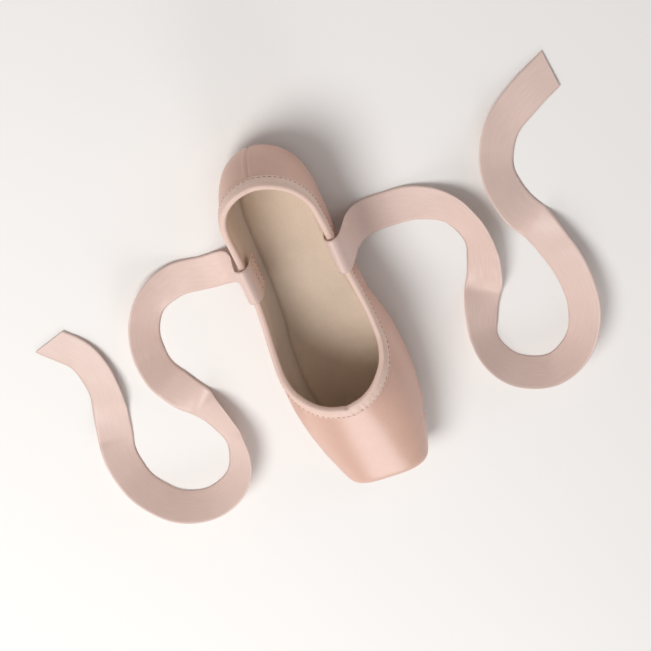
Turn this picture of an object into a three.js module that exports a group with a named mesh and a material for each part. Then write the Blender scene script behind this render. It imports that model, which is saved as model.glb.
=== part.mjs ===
// A satin pointe shoe, standing empty on its sole. Millimetres, +Z up.
// The toe platform faces -Y, the heel +Y, and the floor is z = 0. Stations ("at") are measured
// along the shoe from the platform back to the heel.
import * as THREE from "three";

// ---- Driving dimensions -------------------------------------------------------------------------
const LENGTH = 228; // platform to the back of the heel
const GAP = 0.3; // air between pieces that touch in the real shoe
const BOX_WALL = 3; // glued layers of the toe box
const QUARTER_WALL = 2; // satin, canvas and lining of the quarters
const COLLAR_WALL = 1.2; // turned edge under the binding
const BOX_ENDS = 60; // the box wall starts to thin at this station
const QUARTER_STARTS = 95; // and has reached the quarter wall here
const PLATFORM_LEAN = 0.05; // the top of the platform leans back by this much per mm of height
const PLATFORM_MID = 18; // height at which the platform is furthest forward
const TIP_ROUND = 6; // rounding where the vamp meets the platform
const TIP_ROUND_UNDER = 11; // larger rounding under the platform, where the pleats lie
const HEEL_STARTS = 190; // the plan outline turns round the heel behind this station
const HEEL_PLAN = 2.25; // exponent of the heel's plan curve
const HEEL_LEAN = 5; // how far the top of the heel leans in over the foot
const UNDER_CURVE = 3.6; // exponent of the section below its widest height
const BINDING_WIDTH = 7.5; // the binding's outer leg
const BINDING_INSIDE = 5.5; // its inner leg
const BINDING_WALL = 0.8;
const SOLE_THICK = 2.9;
const SOLE_TIP = 25; // where the outsole starts, behind the platform
const SOLE_END = 221; // where it ends under the heel
const INSOLE_THICK = 1.8;
const RIBBON_WIDTH = 22;
const RIBBON_THICK = 1;

// The last, a row for each section: half its width, its underside, its ridge (imagined on across
// the foot behind the throat), the height of its widest line and how square its top section is.
const LAST = [
  { at: -10, half: 22.4, under: 4.2, ridge: 28.5, wide: 15.5, square: 2.9 },
  { at: 0, half: 25.0, under: 3.7, ridge: 32.0, wide: 16, square: 2.8 },
  { at: 12, half: 28.6, under: 3.2, ridge: 36.4, wide: 16.5, square: 2.6 },
  { at: 30, half: 33.0, under: 2.9, ridge: 42.6, wide: 17, square: 2.4 },
  { at: 50, half: 36.6, under: 2.8, ridge: 49.6, wide: 17.5, square: 2.3 },
  { at: 70, half: 38.0, under: 2.8, ridge: 57.0, wide: 18, square: 2.2 },
  { at: 92, half: 37.0, under: 2.8, ridge: 65.5, wide: 18.5, square: 2.15 },
  { at: 112, half: 33.6, under: 3.2, ridge: 73.0, wide: 19, square: 2.1 },
  { at: 134, half: 30.2, under: 5.0, ridge: 80.0, wide: 20, square: 2.1 },
  { at: 154, half: 28.4, under: 5.8, ridge: 84.0, wide: 20.5, square: 2.1 },
  { at: 174, half: 27.8, under: 4.4, ridge: 86.0, wide: 20.5, square: 2.1 },
  { at: 194, half: 27.6, under: 2.8, ridge: 87.0, wide: 20.5, square: 2.1 },
  { at: 240, half: 27.4, under: 2.8, ridge: 88.0, wide: 20.5, square: 2.1 },
];

// The outsole's outline, pear-shaped under the ball and narrow at the waist.
const SOLE = [
  { at: SOLE_TIP, half: 0 },
  { at: 27, half: 6.6 },
  { at: 32, half: 11.8 },
  { at: 42, half: 17.2 },
  { at: 58, half: 21.8 },
  { at: 76, half: 23.4 },
  { at: 96, half: 21.6 },
  { at: 118, half: 17.0 },
  { at: 140, half: 13.9 },
  { at: 160, half: 13.9 },
  { at: 182, half: 16.8 },
  { at: 198, half: 18.6 },
  { at: 210, half: 16.8 },
  { at: 217, half: 11.8 },
  { at: 220, half: 6.2 },
  { at: SOLE_END, half: 0 },
];

// Where the upper's surface runs, a row for each place from the front of the toe (turn 0) round to
// the back of the heel (turn 1). A line up the surface starts at the edge under the sole (edgeAt,
// edgeX), crosses the widest line (wideAt, wideX) and ends at the collar (collarAt, collarX,
// collarZ). spineAt is the point on the shoe's middle line that it is drawn round.
const LINES = [
  { turn: 0, spineAt: 36, edgeAt: 31, edgeX: 0, wideAt: -6, wideX: 0, collarAt: 74, collarX: 0, collarZ: 58 },
  { turn: 0.07, spineAt: 36, edgeAt: 32, edgeX: 5, wideAt: -5, wideX: 11, collarAt: 75, collarX: 7.5, collarZ: 57.5 },
  { turn: 0.14, spineAt: 37, edgeAt: 35, edgeX: 9.2, wideAt: -1, wideX: 23, collarAt: 77.5, collarX: 14.5, collarZ: 56 },
  { turn: 0.22, spineAt: 42, edgeAt: 43, edgeX: 12.4, wideAt: 17, wideX: 30, collarAt: 83, collarX: 21.5, collarZ: 53 },
  { turn: 0.32, spineAt: 57, edgeAt: 58, edgeX: 16.0, wideAt: 43, wideX: 36, collarAt: 92, collarX: 27.5, collarZ: 48 },
  { turn: 0.43, spineAt: 80, edgeAt: 78, edgeX: 17.3, wideAt: 74, wideX: 38, collarAt: 106, collarX: 30.5, collarZ: 42 },
  { turn: 0.54, spineAt: 106, edgeAt: 104, edgeX: 14.2, wideAt: 104, wideX: 35, collarAt: 124, collarX: 30.0, collarZ: 37 },
  { turn: 0.65, spineAt: 134, edgeAt: 134, edgeX: 8.6, wideAt: 134, wideX: 30, collarAt: 144, collarX: 28.0, collarZ: 35 },
  { turn: 0.76, spineAt: 163, edgeAt: 164, edgeX: 8.6, wideAt: 164, wideX: 28, collarAt: 167, collarX: 26.8, collarZ: 36 },
  { turn: 0.86, spineAt: 186, edgeAt: 190, edgeX: 11.9, wideAt: 195, wideX: 27, collarAt: 190, collarX: 26.0, collarZ: 40 },
  { turn: 0.93, spineAt: 190, edgeAt: 206, edgeX: 10.4, wideAt: 216, wideX: 19, collarAt: 208, collarX: 18.5, collarZ: 45.5 },
  { turn: 1, spineAt: 191, edgeAt: 214, edgeX: 0, wideAt: 228, wideX: 0, collarAt: 219, collarX: 0, collarZ: 50 },
];

// ---- Curves through tables ----------------------------------------------------------------------
// The value of a column at a place along a table, on a smooth curve through its rows. flatEnds
// levels it off at both ends, for what carries on as its own mirror image there.
function along(rows, key, column, place, flatEnds = false) {
  const last = rows.length - 1;
  if (place <= rows[0][key]) return rows[0][column];
  if (place >= rows[last][key]) return rows[last][column];
  let i = 0;
  while (rows[i + 1][key] < place) i++;
  const rise = (j) =>
    (rows[j + 1][column] - rows[j][column]) / (rows[j + 1][key] - rows[j][key]);
  const slope = (j) => {
    if (j === 0 || j === last) return flatEnds ? 0 : rise(j === 0 ? 0 : last - 1);
    const before = rise(j - 1);
    const after = rise(j);
    return before * after <= 0 ? 0 : (2 * before * after) / (before + after);
  };
  const span = rows[i + 1][key] - rows[i][key];
  const u = (place - rows[i][key]) / span;
  const rowsApart = rows[i + 1][column] - rows[i][column];
  const bend = u * u * (3 - 2 * u);
  const leave = u * (1 - u) * (1 - u) * span * slope(i);
  const arrive = u * u * (1 - u) * span * slope(i + 1);
  return rows[i][column] + rowsApart * bend + leave - arrive;
}

const smoothStep = (from, to, value) => {
  const u = Math.min(1, Math.max(0, (value - from) / (to - from)));
  return u * u * (3 - 2 * u);
};

// ---- The last -----------------------------------------------------------------------------------
// How far out a point lies in plan: 1 on the outline, less inside. Behind HEEL_STARTS the outline
// turns round the heel.
function planReach(x, at) {
  const side = Math.abs(x) / along(LAST, "at", "half", at);
  const back = Math.max(0, at - HEEL_STARTS) / (LENGTH - HEEL_STARTS);
  return (side ** HEEL_PLAN + back ** HEEL_PLAN) ** (1 / HEEL_PLAN);
}

// Signed distance from a point to the last, near enough: negative inside.
function lastDistance(x, at, z) {
  const wide = along(LAST, "at", "wide", at);
  const lean = HEEL_LEAN * smoothStep(wide, 58, z) * smoothStep(150, LENGTH, at);
  const reach = planReach(x, at + lean);
  const height =
    z < wide
      ? (wide - z) / (wide - along(LAST, "at", "under", at))
      : (z - wide) / (along(LAST, "at", "ridge", at) - wide);
  const power = z < wide ? UNDER_CURVE : along(LAST, "at", "square", at);
  const level = (reach ** power + height ** power) ** (1 / power);
  const away = Math.hypot(x, Math.max(0, at - HEEL_STARTS), z - wide);
  const body = away - away / Math.max(level, 1e-6);
  const platform = PLATFORM_LEAN * Math.max(0, z - PLATFORM_MID) - at;
  const round = TIP_ROUND + (TIP_ROUND_UNDER - TIP_ROUND) * smoothStep(20, 8, z);
  const mix = Math.max(0, round - Math.abs(body - platform)) / round;
  return Math.max(body, platform) + (mix * mix * round) / 4;
}

// The height of the last's underside, inside its outline.
function underside(x, at) {
  const wide = along(LAST, "at", "wide", at);
  const under = along(LAST, "at", "under", at);
  const reach = Math.min(0.999, planReach(x, at));
  return wide - (wide - under) * (1 - reach ** UNDER_CURVE) ** (1 / UNDER_CURVE);
}

// Where a ray from a point inside the last leaves it.
function castOut(from, direction) {
  let near = 0;
  let far = 130;
  for (let step = 0; step < 40; step++) {
    const reach = (near + far) / 2;
    const p = from.clone().addScaledVector(direction, reach);
    if (lastDistance(p.x, p.y, p.z) < 0) near = reach;
    else far = reach;
  }
  return from.clone().addScaledVector(direction, near);
}

// ---- Lines up the upper -------------------------------------------------------------------------
const LINE_STEPS = 64;

// A line up the outer surface, from the edge under the sole to the collar. Its turn runs from 0 to
// 2: past 1 it is the mirror image on the other side.
function surfaceLine(turn) {
  const side = turn > 1 ? -1 : 1;
  const place = turn > 1 ? 2 - turn : turn;
  const row = (column) => along(LINES, "turn", column, place, !column.endsWith("X"));
  const spine = new THREE.Vector3(0, row("spineAt"), along(LAST, "at", "wide", row("spineAt")));
  const towards = (x, at, z) => new THREE.Vector3(x * side, at, z).sub(spine).normalize();
  const edgeZ = underside(row("edgeX"), row("edgeAt"));
  const edge = towards(row("edgeX"), row("edgeAt"), edgeZ);
  const wide = towards(row("wideX"), row("wideAt"), spine.z);
  const collar = towards(row("collarX"), row("collarAt"), row("collarZ"));
  const points = [];
  for (let step = 0; step <= LINE_STEPS; step++) {
    const v = (step / LINE_STEPS) * 2;
    const [from, to, part] = v < 1 ? [edge, wide, v] : [wide, collar, v - 1];
    const angle = from.angleTo(to);
    const direction = from
      .clone()
      .multiplyScalar(Math.sin((1 - part) * angle))
      .addScaledVector(to, Math.sin(part * angle))
      .normalize();
    points.push(castOut(spine, direction));
  }
  return points;
}

// Points on a line at given distances from its start, measured along it.
function pointsAlong(line, distances) {
  const run = [0];
  for (let i = 1; i < line.length; i++) run.push(run[i - 1] + line[i].distanceTo(line[i - 1]));
  return distances(run[run.length - 1]).map((distance) => {
    let i = 1;
    while (i < line.length - 1 && run[i] < distance) i++;
    const part = (distance - run[i - 1]) / (run[i] - run[i - 1]);
    return line[i - 1].clone().lerp(line[i], part);
  });
}

// The rows of the upper: evenly spaced up to the binding, then the binding's lower edge, its
// middle and the collar edge.
const EVEN_ROWS = 18;
const rowDistances = (total) => {
  const under = total - BINDING_WIDTH;
  const rows = [];
  for (let row = 0; row < EVEN_ROWS; row++) rows.push((under * row) / (EVEN_ROWS - 1));
  return [...rows, total - BINDING_WIDTH / 2, total];
};

// Turns are closer together round the toe and the heel, where the surface bends most.
const TURNS = 88;
const turnOf = (index) => {
  const u = (2 * index) / TURNS;
  return u - 0.028 * Math.sin(2 * Math.PI * u) - 0.012 * Math.sin(Math.PI * 2 * u * 2);
};

// The outer surface as a grid of points, with a unit normal for each.
function outerSurface() {
  const lines = [];
  for (let i = 0; i < TURNS; i++) lines.push(pointsAlong(surfaceLine(turnOf(i)), rowDistances));
  const normals = lines.map((line, i) =>
    line.map((point, row) => {
      const before = lines[(i + TURNS - 1) % TURNS][row];
      const after = lines[(i + 1) % TURNS][row];
      const lower = line[Math.max(0, row - 1)];
      const upper = line[Math.min(line.length - 1, row + 1)];
      const round = after.clone().sub(before);
      return round.cross(upper.clone().sub(lower)).normalize();
    }),
  );
  return { lines, normals };
}

// The wall at a station, thinned towards the collar edge.
function wallAt(at, fromCollar) {
  const plain = BOX_WALL + (QUARTER_WALL - BOX_WALL) * smoothStep(BOX_ENDS, QUARTER_STARTS, at);
  return COLLAR_WALL + (plain - COLLAR_WALL) * smoothStep(0, 2.2 * BINDING_WIDTH, fromCollar);
}

// ---- Closed skins -------------------------------------------------------------------------------
// Six times the volume inside a closed skin, negative when its faces point inwards.
function volumeOf(positions, faces) {
  const corner = (index) => new THREE.Vector3().fromArray(positions, faces[index] * 3);
  let sum = 0;
  for (let i = 0; i < faces.length; i += 3)
    sum += corner(i).dot(corner(i + 1).cross(corner(i + 2)));
  return sum;
}

// A closed solid through rings of points. Rings join end to end in a loop, or the first and last
// are capped.
function skin(rings, loop) {
  const size = rings[0].length;
  const positions = rings.flat().flatMap((p) => [p.x, p.y, p.z]);
  const faces = [];
  const joins = loop ? rings.length : rings.length - 1;
  for (let r = 0; r < joins; r++)
    for (let i = 0; i < size; i++) {
      const a = r * size + i;
      const b = r * size + ((i + 1) % size);
      const c = ((r + 1) % rings.length) * size + ((i + 1) % size);
      const d = ((r + 1) % rings.length) * size + i;
      faces.push(a, b, c, a, c, d);
    }
  if (!loop) {
    const cap = (ring, flip) => {
      const middle = ring
        .reduce((sum, p) => sum.add(p), new THREE.Vector3())
        .divideScalar(size);
      const centre = positions.length / 3;
      positions.push(middle.x, middle.y, middle.z);
      const start = flip ? (rings.length - 1) * size : 0;
      for (let i = 0; i < size; i++) {
        const here = start + i;
        const next = start + ((i + 1) % size);
        faces.push(...(flip ? [here, next, centre] : [next, here, centre]));
      }
    };
    cap(rings[0], false);
    cap(rings[rings.length - 1], true);
  }
  if (volumeOf(positions, faces) < 0) faces.reverse();
  const geometry = new THREE.BufferGeometry();
  geometry.setAttribute("position", new THREE.Float32BufferAttribute(positions, 3));
  geometry.setIndex(faces);
  geometry.computeVertexNormals();
  return geometry;
}

// ---- Upper and binding --------------------------------------------------------------------------
const surface = outerSurface();

// Each ring of the upper goes up the outside of the wall and down its inside.
function upperGeometry() {
  const rings = surface.lines.map((line, i) => {
    const top = line[line.length - 1];
    const inside = line.map((point, row) => {
      const wall = wallAt(point.y, point.distanceTo(top));
      return point.clone().addScaledVector(surface.normals[i][row], -wall);
    });
    const kept = inside.filter((point, row) => row >= EVEN_ROWS - 1 || row % 2 === 0);
    return [...line, ...kept.reverse()];
  });
  return skin(rings, true);
}

// The binding is a folded strip over the collar edge, clear of the wall all round.
function bindingGeometry() {
  const rings = surface.lines.map((line, i) => {
    const rows = line.length;
    const normals = surface.normals[i];
    const edge = line[rows - 1];
    const up = edge.clone().sub(line[rows - 2]).normalize();
    const beside = (row, offset) => line[row].clone().addScaledVector(normals[row], offset);
    const low = rows - 3;
    const middle = rows - 2;
    const top = rows - 1;
    const out = GAP + BINDING_WALL;
    const wallLow = wallAt(line[low].y, line[low].distanceTo(edge));
    const wallMiddle = wallAt(line[middle].y, line[middle].distanceTo(edge));
    const innerPart = (BINDING_INSIDE - BINDING_WIDTH / 2) / (BINDING_WIDTH / 2);
    const innerFoot = (offset) =>
      beside(middle, -(wallMiddle + offset)).lerp(beside(low, -(wallLow + offset)), innerPart);
    return [
      beside(low, GAP),
      beside(low, out),
      beside(middle, out),
      beside(top, out).addScaledVector(up, out * 0.6),
      beside(top, -COLLAR_WALL / 2).addScaledVector(up, out * 1.25),
      beside(top, -(COLLAR_WALL + out)).addScaledVector(up, out * 0.6),
      beside(middle, -(wallMiddle + out)),
      innerFoot(out),
      innerFoot(GAP),
      beside(middle, -(wallMiddle + GAP)),
      beside(top, -(COLLAR_WALL + GAP)).addScaledVector(up, GAP),
      beside(top, GAP).addScaledVector(up, GAP),
      beside(middle, GAP),
    ];
  });
  return skin(rings, true);
}

// ---- Outsole and insole -------------------------------------------------------------------------
// A plate between two heights over an outline, in cross strips from front to back. The strips
// crowd towards the round ends.
function plateGeometry(from, to, strips, across, halfAt, lowAt, highAt) {
  const rings = [];
  for (let i = 0; i <= strips; i++) {
    const u = 0.5 - 0.5 * Math.cos((Math.PI * (i + 0.35)) / (strips + 0.7));
    const at = from + (to - from) * u;
    const half = halfAt(at);
    const strip = (height, flip) => {
      const points = [];
      for (let j = 0; j <= across; j++) {
        const side = Math.sin(Math.PI * (j / across - 0.5)) * (flip ? 1 : -1);
        points.push(new THREE.Vector3(half * side, at, height(half * side, at)));
      }
      return points;
    };
    rings.push([...strip(lowAt, false), ...strip(highAt, true)]);
  }
  return skin(rings, false);
}

const soleHalf = (at) => along(SOLE, "at", "half", at);
const soleTop = (x, at) => underside(x, at) - GAP;

function outsoleGeometry() {
  const low = (x, at) => Math.max(0, soleTop(x, at) - SOLE_THICK);
  return plateGeometry(SOLE_TIP, SOLE_END, 36, 8, soleHalf, low, soleTop);
}

// The insole lies inside on the turned-in edge of the upper, from inside the box to the heel.
const INSOLE = [
  { at: 19, half: 0 },
  { at: 21, half: 9 },
  { at: 28, half: 18 },
  { at: 45, half: 25 },
  { at: 72, half: 28 },
  { at: 96, half: 26.5 },
  { at: 124, half: 22 },
  { at: 156, half: 19.5 },
  { at: 186, half: 19 },
  { at: 202, half: 16 },
  { at: 212, half: 9 },
  { at: 215, half: 0 },
];

function insoleGeometry() {
  const half = (at) => along(INSOLE, "at", "half", at);
  const low = (x, at) => {
    const steeper = 1 + 0.22 * planReach(x, at) ** 3;
    return underside(x, at) + (wallAt(at, 100) + GAP) * steeper;
  };
  const high = (x, at) => low(x, at) + INSOLE_THICK;
  const first = INSOLE[0].at;
  const end = INSOLE[INSOLE.length - 1].at;
  return plateGeometry(first, end, 34, 8, half, low, high);
}

// ---- Ribbons ------------------------------------------------------------------------------------
// Each ribbon is sewn inside the quarter just behind the side seam, passes over the binding, drops
// down the outside and lies loose on the floor. x is measured out from the shoe's middle.
// lift is how high the ribbon's low edge is above the floor, or its middle where it hangs.
const RIBBON_START = [
  { x: 22.3, at: 159, lift: 18 },
  { x: 22.5, at: 159, lift: 28 },
  { x: 23.2, at: 159, lift: 35.8 },
  { x: 26.8, at: 159, lift: 40 },
  { x: 31, at: 159, lift: 37 },
  { x: 33.4, at: 159, lift: 27 },
  { x: 36, at: 159, lift: 13 },
  { x: 42.5, at: 159, lift: 3.4 },
];
const RIBBON_RIGHT = [
  { x: 56, at: 159, lift: 1 },
  { x: 74, at: 157, lift: 1.6 },
  { x: 92, at: 146, lift: 1.6 },
  { x: 100, at: 124, lift: 1 },
  { x: 96, at: 100, lift: 1.4 },
  { x: 87, at: 78, lift: 2.4 },
  { x: 83, at: 54, lift: 1.2 },
  { x: 93, at: 34, lift: 1 },
  { x: 114, at: 26, lift: 1 },
  { x: 134, at: 37, lift: 1.2 },
  { x: 144, at: 60, lift: 2.2 },
  { x: 144, at: 86, lift: 2.4 },
  { x: 137, at: 112, lift: 1.2 },
  { x: 127, at: 136, lift: 1 },
  { x: 124, at: 160, lift: 1 },
  { x: 133, at: 182, lift: 1.8 },
  { x: 151, at: 196, lift: 2.2 },
  { x: 170, at: 206, lift: 1 },
];
const RIBBON_LEFT = [
  { x: 56, at: 159, lift: 1 },
  { x: 76, at: 161, lift: 1.6 },
  { x: 95, at: 153, lift: 1.6 },
  { x: 107, at: 134, lift: 1 },
  { x: 109, at: 110, lift: 1.2 },
  { x: 101, at: 87, lift: 2.2 },
  { x: 90, at: 65, lift: 1.4 },
  { x: 86, at: 41, lift: 1 },
  { x: 96, at: 19, lift: 1 },
  { x: 117, at: 9, lift: 1.4 },
  { x: 139, at: 15, lift: 2 },
  { x: 154, at: 34, lift: 1.2 },
  { x: 158, at: 59, lift: 1 },
  { x: 153, at: 84, lift: 2 },
  { x: 147, at: 108, lift: 2.2 },
  { x: 150, at: 132, lift: 1.2 },
  { x: 164, at: 150, lift: 1 },
];
const RIBBON_STEPS = 72;
const MOST_TILT = 1.05; // how far a ribbon turns up on its edge in its tightest bends, radians
const TILT_BEND = 42; // bend radius at which it has turned most of the way

// The ribbon's middle line, its direction and how it is tilted, at even steps along its route.
function ribbonFrames(rows, side) {
  const all = [...RIBBON_START, ...rows];
  const route = new THREE.CatmullRomCurve3(
    all.map((row) => new THREE.Vector3(row.x * side, row.at, row.lift)),
    false,
    "catmullrom",
    0.5,
  );
  const onFloor = (RIBBON_START.length + 0.5) / (all.length - 1);
  const frames = [];
  for (let i = 0; i <= RIBBON_STEPS; i++) {
    const u = i / RIBBON_STEPS;
    const forward = route.getTangent(u);
    const heading = new THREE.Vector3(side, 0, 0);
    let bend = 0;
    if (u > onFloor) {
      heading.set(forward.x, forward.y, 0).normalize();
      const u0 = u - 0.02;
      const u1 = Math.min(1, u + 0.02);
      const before = route.getTangent(u0);
      const after = route.getTangent(u1);
      const turned = Math.atan2(after.y, after.x) - Math.atan2(before.y, before.x);
      const wrapped = Math.atan2(Math.sin(turned), Math.cos(turned));
      bend = wrapped / route.getPoint(u1).distanceTo(route.getPoint(u0));
    }
    const liesFlat = smoothStep(onFloor, onFloor + 0.12, u) * smoothStep(1, 0.8, u);
    const tilt = -MOST_TILT * Math.tanh(bend * TILT_BEND) * liesFlat;
    frames.push({ point: route.getPoint(u), forward, heading, tilt });
  }
  return frames;
}

function ribbonGeometry(rows, side) {
  const rings = ribbonFrames(rows, side).map(({ point, forward, heading, tilt }) => {
    const level = new THREE.Vector3(-heading.y, heading.x, 0);
    const across = level.clone().applyAxisAngle(forward, tilt);
    const face = across.clone().cross(forward).normalize();
    const rise = (Math.abs(Math.sin(tilt)) * RIBBON_WIDTH) / 2;
    const corner = (a, b) =>
      point
        .clone()
        .add(new THREE.Vector3(0, 0, rise))
        .addScaledVector(across, (a * RIBBON_WIDTH) / 2)
        .addScaledVector(face, (b * RIBBON_THICK) / 2);
    return [corner(-1, -1), corner(-1, 1), corner(1, 1), corner(1, -1)];
  });
  return skin(rings, false);
}

// ---- Assembly -----------------------------------------------------------------------------------
const pieces = {
  upper: [upperGeometry(), { color: 0xe3c1b2, roughness: 0.42, metalness: 0 }],
  outsole: [outsoleGeometry(), { color: 0xc4a08e, roughness: 0.7, metalness: 0 }],
  insole: [insoleGeometry(), { color: 0xe9d8cc, roughness: 0.8, metalness: 0 }],
  collar_binding: [bindingGeometry(), { color: 0xf0d2c4, roughness: 0.5, metalness: 0 }],
  ribbon_right: [ribbonGeometry(RIBBON_RIGHT, 1), { color: 0xecd6cb, roughness: 0.4, metalness: 0 }],
  ribbon_left: [ribbonGeometry(RIBBON_LEFT, -1), { color: 0xecd6cb, roughness: 0.4, metalness: 0 }],
};

const shoe = new THREE.Group();
for (const [name, [geometry, finish]] of Object.entries(pieces)) {
  const mesh = new THREE.Mesh(geometry, new THREE.MeshStandardMaterial(finish));
  mesh.name = name;
  shoe.add(mesh);
}

// Station 0 goes half a length in front of the origin.
shoe.position.set(0, -LENGTH / 2, 0);

export default shoe;
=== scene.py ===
"""A satin pointe shoe, standing empty on its sole, with its ankle ribbons loose on the floor."""

import math

import bmesh
import bpy
import numpy as np
from mathutils import Matrix, Vector, noise


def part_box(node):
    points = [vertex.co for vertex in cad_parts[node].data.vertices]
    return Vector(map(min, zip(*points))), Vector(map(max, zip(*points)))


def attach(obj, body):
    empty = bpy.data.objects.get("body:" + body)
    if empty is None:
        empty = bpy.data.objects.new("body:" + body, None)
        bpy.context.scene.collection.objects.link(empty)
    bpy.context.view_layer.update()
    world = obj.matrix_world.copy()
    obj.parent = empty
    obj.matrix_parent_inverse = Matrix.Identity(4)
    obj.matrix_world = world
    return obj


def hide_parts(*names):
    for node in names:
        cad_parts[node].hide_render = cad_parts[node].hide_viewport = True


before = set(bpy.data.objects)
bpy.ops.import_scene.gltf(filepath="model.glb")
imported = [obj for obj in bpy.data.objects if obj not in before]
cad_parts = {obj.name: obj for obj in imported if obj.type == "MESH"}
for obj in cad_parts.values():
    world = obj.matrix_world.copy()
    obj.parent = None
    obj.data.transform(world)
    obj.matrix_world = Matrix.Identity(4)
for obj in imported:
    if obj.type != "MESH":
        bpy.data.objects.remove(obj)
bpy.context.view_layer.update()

bl_info = {
    "name": "Pointe Shoe",
    "version": (1, 0, 0),
    "blender": (4, 5, 0),
    "location": "View3D > Sidebar > Pointe Shoe",
    "description": "Builds a satin pointe shoe and its ribbons round a fixed frame",
    "category": "Object",
}

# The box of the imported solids, and where station 0, the front of the toe platform, lies on Y.
UPPER_LOW, UPPER_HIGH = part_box("upper")
TOE_Y = UPPER_LOW[1]
MM = 0.001
LENGTH = (UPPER_HIGH[1] - UPPER_LOW[1]) / MM

# ---- The last, in millimetres -------------------------------------------------------------------
# Stations ("at") run back from the toe platform, x is out to the side and z is up.


def table(names, *rows):
    """A short table with named columns."""
    return {name: np.array([float(row[i]) for row in rows]) for i, name in enumerate(names.split())}


# Each section's half width, underside, ridge, height of its widest line and squareness.
LAST = table(
    "at half under ridge wide square",
    (-10, 22.4, 4.2, 28.5, 15.5, 2.9),
    (0, 25.0, 3.7, 32.0, 16.0, 2.8),
    (12, 28.6, 3.2, 36.4, 16.5, 2.6),
    (30, 33.0, 2.9, 42.6, 17.0, 2.4),
    (50, 36.6, 2.8, 49.6, 17.5, 2.3),
    (70, 38.0, 2.8, 57.0, 18.0, 2.2),
    (92, 37.0, 2.8, 65.5, 18.5, 2.15),
    (112, 33.6, 3.2, 73.0, 19.0, 2.1),
    (134, 30.2, 5.0, 80.0, 20.0, 2.1),
    (154, 28.4, 5.8, 84.0, 20.5, 2.1),
    (174, 27.8, 4.4, 86.0, 20.5, 2.1),
    (194, 27.6, 2.8, 87.0, 20.5, 2.1),
    (240, 27.4, 2.8, 88.0, 20.5, 2.1),
)
HEEL_STARTS, HEEL_PLAN = 190, 2.25  # where the heel rounds off in plan, and how squarely
HEEL_LEAN, LEAN_TOP, LEAN_STARTS = 5, 58, 150  # how far its back leans in, by what height, from where
UNDER_CURVE = 3.6  # squareness of a section below its widest line
PLATFORM_LEAN, PLATFORM_MID = 0.05, 18  # slope of the toe platform, above this height
TIP_ROUND, TIP_ROUND_UNDER = 6, 11  # rounding of the platform's rim, above and underneath
UNDER_STARTS, UNDER_ENDS = 20, 8  # heights between which the one turns into the other
SEARCH_REACH, HALVINGS = 130, 40  # how a ray from the spine finds the surface

# The lines up the upper, from the edge under the sole over the widest line to the collar. turn
# runs from 0 at the front of the toe to 1 at the back of the heel.
LINES = table(
    "turn spine edge_at edge_x wide_at wide_x collar_at collar_x collar_z",
    (0.00, 36, 31, 0.0, -6, 0, 74.0, 0.0, 58.0),
    (0.07, 36, 32, 5.0, -5, 11, 75.0, 7.5, 57.5),
    (0.14, 37, 35, 9.2, -1, 23, 77.5, 14.5, 56.0),
    (0.22, 42, 43, 12.4, 17, 30, 83.0, 21.5, 53.0),
    (0.32, 57, 58, 16.0, 43, 36, 92.0, 27.5, 48.0),
    (0.43, 80, 78, 17.3, 74, 38, 106.0, 30.5, 42.0),
    (0.54, 106, 104, 14.2, 104, 35, 124.0, 30.0, 37.0),
    (0.65, 134, 134, 8.6, 134, 30, 144.0, 28.0, 35.0),
    (0.76, 163, 164, 8.6, 164, 28, 167.0, 26.8, 36.0),
    (0.86, 186, 190, 11.9, 195, 27, 190.0, 26.0, 40.0),
    (0.93, 190, 206, 10.4, 216, 19, 208.0, 18.5, 45.5),
    (1.00, 191, 214, 0.0, 228, 0, 219.0, 0.0, 50.0),
)

SOLE = table(
    "at half",
    (25, 0), (27, 6.6), (32, 11.8), (42, 17.2), (58, 21.8), (76, 23.4), (96, 21.6), (118, 17.0),
    (140, 13.9), (160, 13.9), (182, 16.8), (198, 18.6), (210, 16.8), (217, 11.8), (220, 6.2), (221, 0),
)
INSOLE = table(
    "at half",
    (19, 0), (21, 9), (28, 18), (45, 25), (72, 28), (96, 26.5), (124, 22), (156, 19.5), (186, 19),
    (202, 16), (212, 9), (215, 0),
)


def along(rows, key, name, place, flat_ends=False):
    """The value of a column at each place along a table, on a smooth curve through its rows.

    flat_ends levels it off at both ends, for what carries on as its own mirror image there.
    """
    xs, ys = rows[key], rows[name]
    rise = np.diff(ys) / np.diff(xs)
    slope = np.concatenate(([rise[0]], np.zeros(len(xs) - 2), [rise[-1]])) * (not flat_ends)
    before, after = rise[:-1], rise[1:]
    same_way = before * after > 0
    total = np.where(same_way, before + after, 1)
    slope[1:-1] = np.where(same_way, 2 * before * after / total, 0)
    place = np.clip(place, xs[0], xs[-1])
    i = np.clip(np.searchsorted(xs, place, side="right") - 1, 0, len(xs) - 2)
    span = xs[i + 1] - xs[i]
    u = (place - xs[i]) / span
    bend = u * u * (3 - 2 * u)
    leave = u * (1 - u) ** 2 * span * slope[i]
    arrive = u * u * (1 - u) * span * slope[i + 1]
    return ys[i] + (ys[i + 1] - ys[i]) * bend + leave - arrive


def smooth_step(start, end, value):
    """0 at the start, 1 at the end and level at both."""
    u = np.clip((value - start) / (end - start), 0, 1)
    return u * u * (3 - 2 * u)


def hump(distance, width):
    """1 at distance 0, falling softly to nothing past the width."""
    return np.exp(-((distance / width) ** 2))


def plan_reach(x, at):
    """How far out a point lies in plan: 1 on the outline of the last, less inside."""
    side = np.abs(x) / along(LAST, "at", "half", at)
    back = np.maximum(0, at - HEEL_STARTS) / (LENGTH - HEEL_STARTS)
    return (side**HEEL_PLAN + back**HEEL_PLAN) ** (1 / HEEL_PLAN)


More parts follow.
